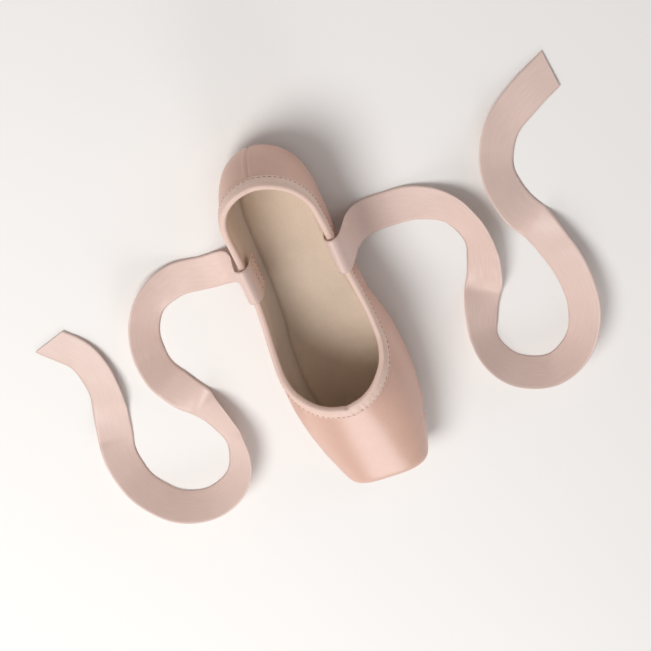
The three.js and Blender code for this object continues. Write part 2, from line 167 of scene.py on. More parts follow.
def last_distance(p):
    """Signed distance of points to the last, near enough: negative inside."""
    x, at, z = p[..., 0], p[..., 1], p[..., 2]
    wide = along(LAST, "at", "wide", at)
    lean = HEEL_LEAN * smooth_step(wide, LEAN_TOP, z) * smooth_step(LEAN_STARTS, LENGTH, at)
    reach = plan_reach(x, at + lean)
    below = (wide - z) / (wide - along(LAST, "at", "under", at))
    above = (z - wide) / (along(LAST, "at", "ridge", at) - wide)
    low = z < wide
    height = np.where(low, below, above)
    power = np.where(low, UNDER_CURVE, along(LAST, "at", "square", at))
    level = np.maximum((reach**power + height**power) ** (1 / power), 1e-6)
    away = np.sqrt(x**2 + np.maximum(0, at - HEEL_STARTS) ** 2 + (z - wide) ** 2)
    body = away - away / level
    platform = PLATFORM_LEAN * np.maximum(0, z - PLATFORM_MID) - at
    rounding = TIP_ROUND + (TIP_ROUND_UNDER - TIP_ROUND) * smooth_step(UNDER_STARTS, UNDER_ENDS, z)
    mix = np.maximum(0, rounding - np.abs(body - platform)) / rounding
    return np.maximum(body, platform) + mix**2 * rounding / 4


def underside(x, at):
    """The height of the last's underside, inside its outline."""
    wide = along(LAST, "at", "wide", at)
    reach = np.minimum(0.999, plan_reach(x, at))
    drop = (1 - reach**UNDER_CURVE) ** (1 / UNDER_CURVE)
    return wide - (wide - along(LAST, "at", "under", at)) * drop


def lines_up(turns, steps=72):
    """Points up the outer surface for each turn, an array of turns by steps by xyz."""
    column = {name: along(LINES, "turn", name, turns, not name.endswith("_x")) for name in LINES}
    spine_z = along(LAST, "at", "wide", column["spine"])
    spine = np.stack([turns * 0, column["spine"], spine_z], -1)

    def towards(x, at, z):
        way = np.stack([x, at, z], -1) - spine
        return way / np.linalg.norm(way, axis=-1, keepdims=True)

    edge_z = underside(column["edge_x"], column["edge_at"])
    edge = towards(column["edge_x"], column["edge_at"], edge_z)
    wide = towards(column["wide_x"], column["wide_at"], spine_z)
    collar = towards(column["collar_x"], column["collar_at"], column["collar_z"])
    rays = []
    for start, end in ((edge, wide), (wide, collar)):
        angle = np.arccos(np.clip((start * end).sum(-1), -1, 1))[:, None, None]
        part = np.linspace(0, 1, steps)[None, :, None]
        ray = np.sin((1 - part) * angle) * start[:, None] + np.sin(part * angle) * end[:, None]
        rays.append(ray[:, (1 if rays else 0):])
    rays = np.concatenate(rays, 1)
    rays /= np.linalg.norm(rays, axis=-1, keepdims=True)
    near = np.zeros(rays.shape[:2])
    far = near + SEARCH_REACH
    for _ in range(HALVINGS):
        reach = (near + far) / 2
        inside = last_distance(spine[:, None] + rays * reach[..., None]) < 0
        near, far = np.where(inside, reach, near), np.where(inside, far, reach)
    return spine[:, None] + rays * near[..., None]


def run_of(line):
    """Distance along a line of points, from 0 at its start."""
    return np.concatenate(([0], np.cumsum(np.linalg.norm(np.diff(line, axis=0), axis=1))))


def resample(line, distances):
    """Points of a line at given distances along it."""
    run = run_of(line)
    return np.stack([np.interp(distances, run, line[:, k]) for k in range(line.shape[1])], -1)


def normals_of(points):
    """Outward unit normals of a surface given as turns, closed in a ring, by rows."""
    round_way = np.roll(points, -1, 0) - np.roll(points, 1, 0)
    up_way = np.gradient(points, axis=1)
    normal = np.cross(round_way, up_way)
    return normal / np.linalg.norm(normal, axis=-1, keepdims=True)


def mirrored(half_turns, half_points):
    """The whole ring of turns from the lines of one side: turns run on from 1 to 2."""
    other = half_points[-2:0:-1] * np.array([-1, 1, 1])
    return np.concatenate([half_turns, 2 - half_turns[-2:0:-1]]), np.concatenate([half_points, other])


# ---- Sizes and colours that a user would change ---------------------------------------------------


def length_prop(name, millimetres, description):
    return bpy.props.FloatProperty(
        name=name,
        description=description,
        default=millimetres * MM,
        unit="LENGTH",
        subtype="DISTANCE",
        precision=5,
    )


def linear(hex_colour):
    """An sRGB hex colour as linear red, green and blue."""
    parts = [int(hex_colour[i : i + 2], 16) / 255 for i in (0, 2, 4)]
    return tuple(c / 12.92 if c <= 0.04045 else ((c + 0.055) / 1.055) ** 2.4 for c in parts)


def colour_prop(name, hex_colour, description):
    return bpy.props.FloatVectorProperty(
        name=name,
        description=description,
        default=linear(hex_colour),
        size=3,
        min=0,
        max=1,
        subtype="COLOR",
    )


PLEAT_DEPTH = 0.85  # the default, which the table of pleats is written for


class PointeSizes(bpy.types.PropertyGroup):
    binding_width: length_prop("Binding width", 7.5, "Depth of the binding's outer leg")
    binding_inside: length_prop("Binding inside", 5.5, "Depth of the binding's inner leg")
    binding_wall: length_prop("Binding wall", 0.8, "Thickness of the folded tape")
    pleat_depth: length_prop("Pleat depth", PLEAT_DEPTH, "Depth of the pleats under the platform")
    seam_width: length_prop("Seam width", 6.4, "Width of the felled side seams")
    seam_height: length_prop("Seam height", 0.8, "How far the side seams stand proud")
    stitch_length: length_prop("Stitch length", 2.1, "Length of one stitch")
    stitch_pitch: length_prop("Stitch pitch", 3.0, "Distance from one stitch to the next")
    thread: length_prop("Thread", 0.48, "Thickness of the sewing thread")
    sole_thickness: length_prop("Sole thickness", 2.9, "Thickness of the outsole leather")
    emboss_depth: length_prop("Emboss depth", 0.55, "Depth of the pattern pressed into the outsole")
    emboss_pitch: length_prop("Emboss pitch", 8.2, "Distance between the pressed marks")
    ribbon_width: length_prop("Ribbon width", 22, "Width of the ankle ribbons")
    ribbon_thickness: length_prop("Ribbon thickness", 0.4, "Thickness of the ribbons")


class PointeColours(bpy.types.PropertyGroup):
    satin: colour_prop("Satin", "DAB09F", "Peach pink satin of the upper")
    binding: colour_prop("Binding", "E7C8BA", "Paler satin tape of the collar")
    lining: colour_prop("Lining", "E6D6C6", "Cotton lining")
    insole: colour_prop("Insole", "DCC9B6", "Sock lining of the insole")
    leather: colour_prop("Leather", "CBB2A5", "Pale leather of the outsole")
    # Painted shade for the pressed marks and for the crevice along the outsole's edge, which is also a darker
    # burnished edge
    pressed: colour_prop("Pressed leather", "8A6757", "Leather darkened by the marks pressed into it")
    ribbon: colour_prop("Ribbon", "E6CBC1", "Satin ribbon")
    thread: colour_prop("Thread", "BD8F7B", "Sewing thread")
    floor: colour_prop("Floor", "F6F4F2", "Pale studio floor")


def sizes():
    return bpy.context.scene.pointe_sizes


def size_mm(name):
    return getattr(sizes(), name) / MM


def colour(name):
    return (*getattr(bpy.context.scene.pointe_colours, name), 1)


# ---- Materials ------------------------------------------------------------------------------------


# Kinds of node and their settings.
COORDINATES, MAPPING = "ShaderNodeTexCoord", "ShaderNodeMapping"
NOISE, BUMP = "ShaderNodeTexNoise", "ShaderNodeBump"
RANGE, MIX, VECTOR = "ShaderNodeMapRange", "ShaderNodeMix", "ShaderNodeVectorMath"
COLOURS = {"data_type": "RGBA"}
TIMES = {"operation": "SCALE"}
FROM_NOISE = {"From_Min": 0.3, "From_Max": 0.7}  # the span that most of a noise's values fill


def fill_input(tree, socket, value):
    """Links a socket to another node's output, or sets it to a plain value."""
    if isinstance(value, bpy.types.NodeSocket):
        tree.links.new(value, socket)
    else:
        socket.default_value = value


def node(tree, kind, settings=None, **inputs):
    """Adds a node with its own settings. Its inputs go by name, or as i and their number."""
    made = tree.nodes.new(kind)
    for name, value in (settings or {}).items():
        setattr(made, name, value)
    for name, value in inputs.items():
        numbered = name[0] == "i" and name[1:].isdigit()
        fill_input(tree, made.inputs[int(name[1:]) if numbered else name.replace("_", " ")], value)
    return made


def new_material(name):
    """A node material, with its tree and its shader."""
    made = bpy.data.materials.new(name)
    made.use_nodes = True
    return made, made.node_tree, made.node_tree.nodes["Principled BSDF"]


def set_shader(tree, shader, **inputs):
    for name, value in inputs.items():
        fill_input(tree, shader.inputs[name.replace("_", " ")], value)


def shade(colour_value, factor):
    """A colour made lighter or darker."""
    return (*(min(1, c * factor) for c in colour_value[:3]), 1)


def cloth_material(name, colour_value, rough, sheen, thread_mm, stretch, bump_mm, mottle=0.05):
    """Woven cloth. Threads run along stretch, so light rakes off it in fine streaks."""
    made, tree, shader = new_material(name)
    place = node(tree, COORDINATES).outputs["Object"]
    per_thread = [1 / (thread_mm * MM * s) for s in stretch]
    threads_at = node(tree, MAPPING, Vector=place, Scale=per_thread).outputs[0]
    threads = node(tree, NOISE, Vector=threads_at, Scale=1.0, Detail=3.0, Roughness=0.6).outputs["Fac"]
    broad = node(tree, NOISE, Vector=place, Scale=1 / (45 * MM), Detail=3.0, Roughness=0.55).outputs["Fac"]
    fine = node(tree, NOISE, Vector=place, Scale=1 / (6 * MM), Detail=2.0).outputs["Fac"]
    tone = node(tree, "ShaderNodeMath", {"operation": "MULTIPLY_ADD"}, i0=fine, i1=0.35, i2=broad).outputs[0]
    tone = node(tree, RANGE, Value=tone, From_Min=0.4, From_Max=1.0).outputs[0]
    dark, light = shade(colour_value, 1 - mottle), shade(colour_value, 1 + mottle)
    mottled = node(tree, MIX, COLOURS, i0=tone, i6=dark, i7=light).outputs[2]
    streaks = node(tree, RANGE, Value=threads, **FROM_NOISE, To_Min=0.965, To_Max=1.03).outputs[0]
    streaked = node(tree, VECTOR, TIMES, i0=mottled, i3=streaks).outputs[0]
    smooth, dull = rough - 0.05, rough + 0.07
    gloss = node(tree, RANGE, Value=threads, **FROM_NOISE, To_Min=smooth, To_Max=dull).outputs[0]
    bump = node(tree, BUMP, Strength=0.5, Distance=bump_mm * MM, Height=threads).outputs[0]
    set_shader(
        tree, shader, Base_Color=streaked, Roughness=gloss, Normal=bump, IOR=1.62,
        Sheen_Weight=sheen, Sheen_Roughness=0.35, Sheen_Tint=shade(colour_value, 1.15),
    )
    return made


def satin_material():
    """Polyester satin: long floats give a soft gloss that pools along the shoe."""
    return cloth_material(
        "polyester satin", colour("satin"), rough=0.33, sheen=0.2, thread_mm=0.55, stretch=(1, 14, 1),
        bump_mm=0.05,
    )


def binding_material():
    """Satin bias tape: paler than the upper, with its threads across the edge."""
    return cloth_material(
        "satin bias tape", colour("binding"), rough=0.5, sheen=0.3, thread_mm=0.6, stretch=(3, 3, 1),
        bump_mm=0.06, mottle=0.04,
    )


def lining_material():
    """Cotton drill lining: matt, with a plain weave drawn coarse enough to show."""
    return cloth_material(
        "cotton drill", colour("lining"), rough=0.85, sheen=0.15, thread_mm=0.7, stretch=(1, 1, 1),
        bump_mm=0.12, mottle=0.06,
    )


def insole_material():
    """Sock lining of brushed cotton on board: matt, a little darker than the lining."""
    return cloth_material(
        "brushed cotton", colour("insole"), rough=0.9, sheen=0.2, thread_mm=0.8, stretch=(1, 2, 1),
        bump_mm=0.1, mottle=0.07,
    )


def ribbon_material():
    """Woven satin ribbon: smooth gloss with the floats running along it."""
    made, tree, shader = new_material("woven satin ribbon")
    on_ribbon = node(tree, "ShaderNodeUVMap", {"uv_map": "surface"}).outputs[0]
    floats_along, threads_across = 480 / 9, 22 / 0.45  # floats 9 mm long, threads 0.45 mm wide
    threads_at = node(tree, MAPPING, Vector=on_ribbon, Scale=(floats_along, threads_across, 1)).outputs[0]
    threads = node(tree, NOISE, Vector=threads_at, Scale=1.0, Detail=2.0).outputs["Fac"]
    place = node(tree, COORDINATES).outputs["Object"]
    patches = node(tree, NOISE, Vector=place, Scale=1 / (30 * MM), Detail=2.0).outputs["Fac"]
    tone = colour("ribbon")
    mottled = node(tree, MIX, COLOURS, i0=patches, i6=shade(tone, 0.95), i7=shade(tone, 1.03)).outputs[2]
    streaks = node(tree, RANGE, Value=threads, **FROM_NOISE, To_Min=0.96, To_Max=1.03).outputs[0]
    streaked = node(tree, VECTOR, TIMES, i0=mottled, i3=streaks).outputs[0]
    bump = node(tree, BUMP, Strength=0.4, Distance=0.04 * MM, Height=threads).outputs[0]
    set_shader(
        tree, shader, Base_Color=streaked, Roughness=0.4, Normal=bump, IOR=1.5,
        Sheen_Weight=0.3, Sheen_Roughness=0.35, Sheen_Tint=shade(tone, 1.1),
    )
    return made


def leather_material():
    """Split leather: matt, with a short nap, and painted shade in its pressed marks and along its edges."""
    made, tree, shader = new_material("split leather")
    place = node(tree, COORDINATES).outputs["Object"]
    grain = node(tree, NOISE, Vector=place, Scale=1 / (1.1 * MM), Detail=4.0, Roughness=0.65).outputs["Fac"]
    patches = node(tree, NOISE, Vector=place, Scale=1 / (20 * MM), Detail=4.0).outputs["Fac"]
    tone = colour("leather")
    mottled = node(tree, MIX, COLOURS, i0=patches, i6=shade(tone, 0.86), i7=shade(tone, 1.12)).outputs[2]
    # Painted shade: the dark colour goes into the pressed marks, between them and onto the edges, where it is
    # also the burnished edge.
    pressed = node(tree, "ShaderNodeAttribute", {"attribute_name": "pressed"}).outputs["Fac"]
    with_painted_shade = node(tree, MIX, COLOURS, i0=pressed, i6=mottled, i7=colour("pressed")).outputs[2]
    speckle = node(tree, RANGE, Value=grain, **FROM_NOISE, To_Min=0.9, To_Max=1.08).outputs[0]
    speckled = node(tree, VECTOR, TIMES, i0=with_painted_shade, i3=speckle).outputs[0]
    bump = node(tree, BUMP, Strength=0.6, Distance=0.15 * MM, Height=grain).outputs[0]
    set_shader(
        tree, shader, Base_Color=speckled, Roughness=0.78, Normal=bump, IOR=1.45,
        Sheen_Weight=0.2, Sheen_Roughness=0.5,
    )
    return made


def thread_material():
    """Twisted polyester thread: a soft gloss, a shade darker than the satin."""
    if "twisted thread" in bpy.data.materials:
        return bpy.data.materials["twisted thread"]
    made, tree, shader = new_material("twisted thread")
    place = node(tree, COORDINATES).outputs["Object"]
    twist = node(tree, NOISE, Vector=place, Scale=1 / (0.8 * MM), Detail=1.0).outputs["Fac"]
    tone = colour("thread")
    twisted = node(tree, MIX, COLOURS, i0=twist, i6=shade(tone, 0.85), i7=shade(tone, 1.1)).outputs[2]
    set_shader(tree, shader, Base_Color=twisted, Roughness=0.55, IOR=1.5)
    return made


def floor_material():
    """Painted board: matt and very pale, with a faint unevenness."""
    made, tree, shader = new_material("painted floor")
    place = node(tree, COORDINATES).outputs["Object"]
    mottle = node(tree, NOISE, Vector=place, Scale=6.0, Detail=2.0).outputs["Fac"]
    tone = colour("floor")
    mottled = node(tree, MIX, COLOURS, i0=mottle, i6=shade(tone, 0.99), i7=shade(tone, 1.01)).outputs[2]
    set_shader(tree, shader, Base_Color=mottled, Roughness=0.75)
    return made


# ---- Meshes ---------------------------------------------------------------------------------------


WELD = 1e-6  # metres within which corners of a grid are one point


def to_scene(points):
    """Shoe millimetres to scene metres."""
    return points * MM + np.array([0, TOE_Y, 0])


def grid_piece(name, points, materials, material_of=None, attribute=None):
    """A piece from a bmesh grid whose corners are moved to the points, an array of rows by columns.

    material_of gives a face's material from its column; attribute is a name and its values.
    """
    rows, columns = points.shape[:2]
    bm = bmesh.new()
    bm.loops.layers.uv.new("surface")
    bmesh.ops.create_grid(bm, x_segments=rows - 1, y_segments=columns - 1, size=1, calc_uvs=True)
    layer = bm.verts.layers.float.new(attribute[0]) if attribute else None
    places = to_scene(points)
    column_of = {}
    for vert in bm.verts:
        i = round((vert.co.x + 1) / 2 * (rows - 1))
        j = round((vert.co.y + 1) / 2 * (columns - 1))
        column_of[vert.index] = j
        vert.co = Vector(places[i, j])
        if layer:
            vert[layer] = float(attribute[1][i, j])
    if material_of:
        for face in bm.faces:
            face.material_index = material_of(min(column_of[v.index] for v in face.verts))
    bmesh.ops.remove_doubles(bm, verts=bm.verts, dist=WELD)
    return finish_piece(name, bm, materials)


def closed_ends(ring):
    """Closes a tube, given as rings from one end to the other, with a point in each end's middle."""
    first, last = (np.repeat(end.mean(1, keepdims=True), ring.shape[1], 1) for end in (ring[:1], ring[-1:]))
    return np.concatenate([first, ring, last], 0)


def link_mesh(name, bm, materials):
    """Puts a bmesh in the scene as an object of its own."""
    mesh = bpy.data.meshes.new(name)
    bm.to_mesh(mesh)
    bm.free()
    for item in materials:
        mesh.materials.append(item)
    made = bpy.data.objects.new(name, mesh)
    bpy.context.scene.collection.objects.link(made)
    return made


def finish_piece(name, bm, materials):
    """A smooth piece of the shoe, its faces turned outwards."""
    bmesh.ops.recalc_face_normals(bm, faces=bm.faces)
    made = link_mesh(name, bm, materials)
    made.data.shade_smooth()
    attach(made, "root")
    return made


# ---- The upper's surface --------------------------------------------------------------------------
# Turns are closer together round the toe's pleats, at the side seams and at the heel seam.
HALF_TURNS = np.unique(np.concatenate([
    np.linspace(0.0, 0.26, 96),
    np.linspace(0.26, 0.60, 62),
    np.linspace(0.60, 0.72, 58),
    np.linspace(0.72, 0.96, 46),
    np.linspace(0.96, 1.0, 30),
]))
OUTER_ROWS, INNER_ROWS = 124, 30
BOX_WALL, QUARTER_WALL, COLLAR_WALL = 3, 2, 1.2
BOX_ENDS, QUARTER_STARTS = 60, 95  # stations between which the wall thins
COLLAR_TAPER = 16.5  # distance over which it thins again towards the collar
GAP = 0.3  # between pieces that touch
SEAM_FOOT, SEAM_TOP = 137, 148  # stations of the side seam at the sole and at the collar
SEAM_LOW, SEAM_RISE = 4, 32  # height of its foot, and how far it climbs
SEAM_ROW = 0.45  # how far its stitch rows lie from its middle, in half widths
SEAM_SIDE = 12  # nothing nearer the shoe's middle than this belongs to a side seam
BACK_SEAM = 30  # how far forward of the heel's back the back seam is looked for
SWELL, SWELL_OUT, SWELL_WIDTH = 0.75, 4.2, 3.2  # the satin's swell beyond the outsole's edge
TUCK, TUCK_WIDTH = 0.5, 1.4  # how it is drawn in at that edge
TUCK_FADES = (14, 8)  # heights between which both fade out

# Pleats gathered round the outsole's tip: where they are, how deep, how far up they run (mm from
# the turned-in edge), how wide (in turns) and how far they slant.
PLEATS = table(
    "turn depth reach width slant",
    (0.006, 1.1, 34, 0.0070, 0.002),
    (0.032, 0.7, 22, 0.0055, 0.006),
    (0.054, 1.2, 38, 0.0075, 0.012),
    (0.083, 0.8, 26, 0.0060, 0.014),
    (0.108, 1.3, 40, 0.0080, 0.024),
    (0.139, 0.7, 24, 0.0065, 0.024),
    (0.164, 1.0, 33, 0.0080, 0.030),
    (0.196, 0.6, 22, 0.0080, 0.026),
    (0.226, 0.4, 16, 0.0090, 0.020),
)
SLANT_OVER = 30  # distance up over which a pleat slants by its slant
PUFF = 0.35  # how far the pleated satin puffs out

# Soft creases in the satin, each a line from one point to another, in stations and
# heights on one side (+1 or -1), with its depth and width.
CREASES = table(
    "side at0 z0 at1 z1 depth width",
    (1, 46, 6, 27, 15, 1.10, 4.0),
    (1, 27, 15, 40, 24, 0.75, 4.4),
    (1, 116, 8, 130, 26, 0.55, 5.5),
    (1, 126, 30, 150, 12, 0.40, 5.0),
    (1, 158, 10, 176, 24, 0.35, 6.0),
    (-1, 44, 6, 26, 14, 1.00, 4.0),
    (-1, 26, 14, 38, 22, 0.70, 4.4),
    (-1, 112, 10, 128, 28, 0.50, 6.0),
    (-1, 132, 8, 150, 22, 0.40, 5.0),
    (-1, 162, 24, 182, 10, 0.30, 6.0),
)


def wall_at(at, from_collar=100):
    """Thickness of the upper at a station and a distance down from the collar."""
    plain = BOX_WALL + (QUARTER_WALL - BOX_WALL) * smooth_step(BOX_ENDS, QUARTER_STARTS, at)
    return COLLAR_WALL + (plain - COLLAR_WALL) * smooth_step(0, COLLAR_TAPER, from_collar)


def seam_offset(points):
    """Distance along the shoe from the side seam's line."""
    rise = np.clip((points[..., 2] - SEAM_LOW) / SEAM_RISE, 0, 1)
    return points[..., 1] - (SEAM_FOOT + (SEAM_TOP - SEAM_FOOT) * rise)


def pleat_lift(turn, up):
    """Lift of the pleats, inwards, and of the puff round them, by turn and distance up."""
    lift = np.zeros(np.broadcast(turn, up).shape)
    for middle, depth, reach, width, slant in zip(*PLEATS.values()):
        centre = middle + slant * (up / SLANT_OVER)
        off = np.abs(turn - centre) / width
        fold = 0.75 * np.exp(-1.9 * off) + 0.25 * hump(off, 1)
        lift -= depth * fold * smooth_step(reach, reach * 0.35, up)
    puff = PUFF * smooth_step(0.26, 0.2, turn) * smooth_step(26, 12, up)
    return (lift + puff) * sizes().pleat_depth / (PLEAT_DEPTH * MM)


def crease_lift(points):
    """Lift of the soft creases: a trough with a low ridge beside it, fading at its ends."""
    lift = np.zeros(points.shape[:-1])
    x, at, z = points[..., 0], points[..., 1], points[..., 2]
    for side, at0, z0, at1, z1, depth, width in zip(*CREASES.values()):
        way = np.array([at1 - at0, z1 - z0])
        t = np.clip(((at - at0) * way[0] + (z - z0) * way[1]) / (way @ way), 0, 1)
        off = np.hypot(at - at0 - t * way[0], z - z0 - t * way[1])
        fade = smooth_step(0, 0.25, t) * smooth_step(1, 0.75, t)
        form = -hump(off, width) + 0.5 * hump(off - 1.6 * width, width)
        lift += depth * form * fade * (x * side > 0)
    return lift


def sole_edge_lift(points):
    """The satin swells round the outsole and is drawn in beneath its edge."""
    x, at, z = points[..., 0], points[..., 1], points[..., 2]
    half = along(SOLE, "at", "half", at)
    beyond = np.abs(x) - half
    ahead = SOLE["at"][0] - at
    beyond = np.where(ahead > -3, np.maximum(beyond, ahead), beyond)
    swell = SWELL * hump(beyond - SWELL_OUT, SWELL_WIDTH) - TUCK * hump(beyond, TUCK_WIDTH)
    return swell * smooth_step(*TUCK_FADES, z)


def side_seam_lift(points):
    """The felled seam stands proud, with grooves under its stitch rows and along its edges."""
    off = np.abs(seam_offset(points))
    half = size_mm("seam_width") / 2
    ridge = smooth_step(half + 0.9, half - 0.5, off) * size_mm("seam_height")
    ridge -= 0.28 * (hump(off - half * SEAM_ROW, 0.55) + hump(off - half * 1.18, 0.5))
    return ridge * (np.abs(points[..., 0]) > SEAM_SIDE)


def back_seam_lift(points):
    """The back seam: a fine trough between two low ridges, up the middle of the heel."""
    off = np.abs(points[..., 0])
    seam = 0.35 * hump(off - 1.7, 1.1) - 0.4 * hump(off, 0.55)
    return seam * (points[..., 1] > LENGTH - BACK_SEAM)


def upper_surface():
    """The upper's outer surface, as arrays of turns by rows from the sole's edge to the collar."""
    half = [resample(line, np.linspace(0, run_of(line)[-1], OUTER_ROWS)) for line in lines_up(HALF_TURNS)]
    turns, points = mirrored(HALF_TURNS, np.array(half))
    up = np.array([run_of(line) for line in points])
    down = up[:, -1:] - up
    normals = normals_of(points)
    one_side = np.minimum(turns, 2 - turns)[:, None]
    lift = pleat_lift(one_side, up) + crease_lift(points) + sole_edge_lift(points)
    binding = size_mm("binding_width")
    below_binding = smooth_step(binding - 1, binding + 1, down)
    lift += side_seam_lift(points) * below_binding
    lift += back_seam_lift(points) * below_binding
    outer = points + normals * lift[..., None]
    return {"turns": turns, "plain": points, "outer": outer, "normals": normals, "up": up, "down": down}


SURFACE = {}


def surface():
    """The upper's surface, worked out once and shared by the pieces that lie on it."""
    if not SURFACE:
        SURFACE.update(upper_surface())
    return SURFACE


def close_ring(points):
    """Repeats the first row after the last."""
    return np.concatenate([points, points[:1]], 0)


class POINTE_OT_upper(bpy.types.Operator):
    """Builds the satin upper with its lining, as one hollow shell"""

    bl_idname = "pointe.upper"
    bl_label = "Upper"
    bl_options = {"REGISTER", "UNDO"}

    def execute(self, context):
        s = surface()
        wall = wall_at(s["plain"][..., 1], s["down"])
        inner = s["plain"] - s["normals"] * wall[..., None]
        kept = np.linspace(0, OUTER_ROWS - 1, INNER_ROWS).round().astype(int)
        inner = inner[:, kept][:, ::-1]
        shell = np.concatenate([s["outer"], inner, s["outer"][:, :1]], 1)
        piece = grid_piece(
            "upper_shell",
            close_ring(shell),
            [satin_material(), lining_material()],
            lambda column: 0 if column < OUTER_ROWS - 1 else 1,
        )
        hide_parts("upper")
        return {"FINISHED"}


# ---- Binding --------------------------------------------------------------------------------------


STITCH_DROP = 6.1  # distance of the stitch row below the collar's edge
BULGE, BULGE_DROP, BULGE_WIDTH = 0.35, 2.2, 2.0  # of the drawstring inside the tape
NOTCH_DEPTH, NOTCH_WIDTH = 1.1, 1.5  # where the drawstring comes out at the front


def collar_lines():
    """Points and normals near the collar, for each turn, at distances down from the edge."""
    s = surface()
    drops = np.linspace(0, size_mm("binding_width"), 10)
    points, normals = [], []
    for i, run in enumerate(s["up"]):
        for values, kept in ((s["plain"][i], points), (s["normals"][i], normals)):
            kept.append(np.stack([np.interp(run[-1] - drops, run, values[:, k]) for k in range(3)], -1))
    return drops, np.array(points), np.array(normals)


def gathers(run):
    """Fine gathers of the tape round the throat and sides, at distances along the edge."""
    lift = []
    for d in run:
        phase = d / 0.62 + 4.0 * noise.noise(Vector((d / 5, 0, 3)))
        strength = 0.55 + 0.9 * noise.noise(Vector((d / 11, 5, 0)))
        lift.append(0.12 * math.sin(phase) * strength)
    return np.array(lift)


class POINTE_OT_binding(bpy.types.Operator):
    """Builds the folded binding over the collar edge, with the drawstring's bulge in it"""

    bl_idname = "pointe.binding"
    bl_label = "Collar binding"
    bl_options = {"REGISTER", "UNDO"}

    def execute(self, context):
        drops, points, normals = collar_lines()
        edge = points[:, 0]
        up = points[:, 0] - points[:, 1]
        up /= np.linalg.norm(up, axis=-1, keepdims=True)
        run = run_of(close_ring(edge))[:-1]
        gather = gathers(run)
        notch = NOTCH_DEPTH * hump(np.minimum(run, run[-1] - run), NOTCH_WIDTH)
        width, wall = size_mm("binding_width"), size_mm("binding_wall")
        out = GAP + wall
        middle, radius = -COLLAR_WALL / 2, COLLAR_WALL / 2 + out
        inner = np.flatnonzero(drops <= size_mm("binding_inside") + 0.3)
        sections = []
        # The outer leg, from its hem up, with the drawstring's bulge and the dip of the stitch row.
        for j in range(len(drops) - 1, -1, -1):
            fold = smooth_step(0, 1.0, width - drops[j])
            bulge = BULGE * hump(drops[j] - BULGE_DROP, BULGE_WIDTH) - 0.3 * hump(drops[j] - STITCH_DROP, 0.5)
            lift = GAP + wall * (0.55 + 0.45 * fold) + bulge + gather * smooth_step(0, 2, drops[j] + 0.6)
            sections.append(points[:, j] + normals[:, j] * lift[:, None])
        # The roll over the edge.
        for angle in np.linspace(0, math.pi, 9)[1:-1]:
            lift = middle + (radius + 0.2) * math.cos(angle)
            rise = (radius * 0.75 + 0.4 * gather - notch) * math.sin(angle)
            sections.append(edge + normals[:, 0] * lift + up * rise[:, None])
        # The inner leg, down its face and back up against the lining, then back down the satin.
        for j in inner:
            lift = -(wall_at(points[:, j, 1], drops[j]) + out + 0.5 * np.abs(gather))
            sections.append(points[:, j] + normals[:, j] * lift[:, None])
        for j in inner[::-1]:
            lift = -(wall_at(points[:, j, 1], drops[j]) + GAP * 0.5)
            sections.append(points[:, j] + normals[:, j] * lift[:, None])
        sections.append(edge + normals[:, 0] * middle + up * GAP)
        for j in range(0, len(drops), 2):
            sections.append(points[:, j] + normals[:, j] * (GAP * 0.5))
        ring = np.stack(sections + sections[:1], 1)
        piece = grid_piece("collar_tape", close_ring(ring), [binding_material()])
        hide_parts("collar_binding")
        return {"FINISHED"}


# ---- Stitches -------------------------------------------------------------------------------------


STITCH_PROUD = 0.12  # how far a stitch's middle stands off the cloth, in thicknesses of the thread


def sew(bm, line, normals, pitch, length, thread, closed=False):
    """Sews a row of stitches along a line of points, half sunk in the cloth."""
    run = run_of(line)
    count = int((run[-1] - (0 if closed else length)) / pitch)
    for k in range(count):
        place = (k + 0.5) * run[-1] / count
        here = Vector(resample(line, [place])[0])
        ahead = Vector(resample(line, [min(place + length / 2, run[-1])])[0])
        back = Vector(resample(line, [max(place - length / 2, 0)])[0])
        out = Vector([np.interp(place, run, normals[:, i]) for i in range(3)]).normalized()
        way = (ahead - back).normalized()
        side = out.cross(way).normalized()
        turn = Matrix((way, side, out)).transposed().to_4x4()
        spot = Vector(to_scene(np.array(here + out * thread * STITCH_PROUD)))
        form = Matrix.Diagonal((length / 2 * MM, thread / 2 * MM, thread / 2 * MM, 1))
        place_and_form = Matrix.Translation(spot) @ turn @ form
        bmesh.ops.create_icosphere(bm, subdivisions=2, radius=1, matrix=place_and_form)


def seam_line(offset, side):
    """A line up the upper beside the side seam, at an offset along the shoe."""
    s = surface()
    mask = (s["turns"] < 1) if side > 0 else (s["turns"] > 1)
    points, normals = s["outer"][mask], s["normals"][mask]
    gap = seam_offset(s["plain"][mask]) - offset
    if side < 0:
        points, normals, gap = points[::-1], normals[::-1], gap[::-1]
    line, ways = [], []
    for j in range(OUTER_ROWS):
        down = s["down"][mask][:, j].mean()
        column = gap[:, j]
        cross = np.where((column[:-1] < 0) & (column[1:] >= 0))[0]
        if not len(cross):
            continue
        i = cross[0]
        part = -column[i] / (column[i + 1] - column[i])
        point = points[i, j] * (1 - part) + points[i + 1, j] * part
        half = along(SOLE, "at", "half", point[1])
        if down < size_mm("binding_width") or (abs(point[0]) < half + 1 and point[2] < 12):
            continue
        line.append(point)
        ways.append(normals[i, j])
    return np.array(line), np.array(ways)


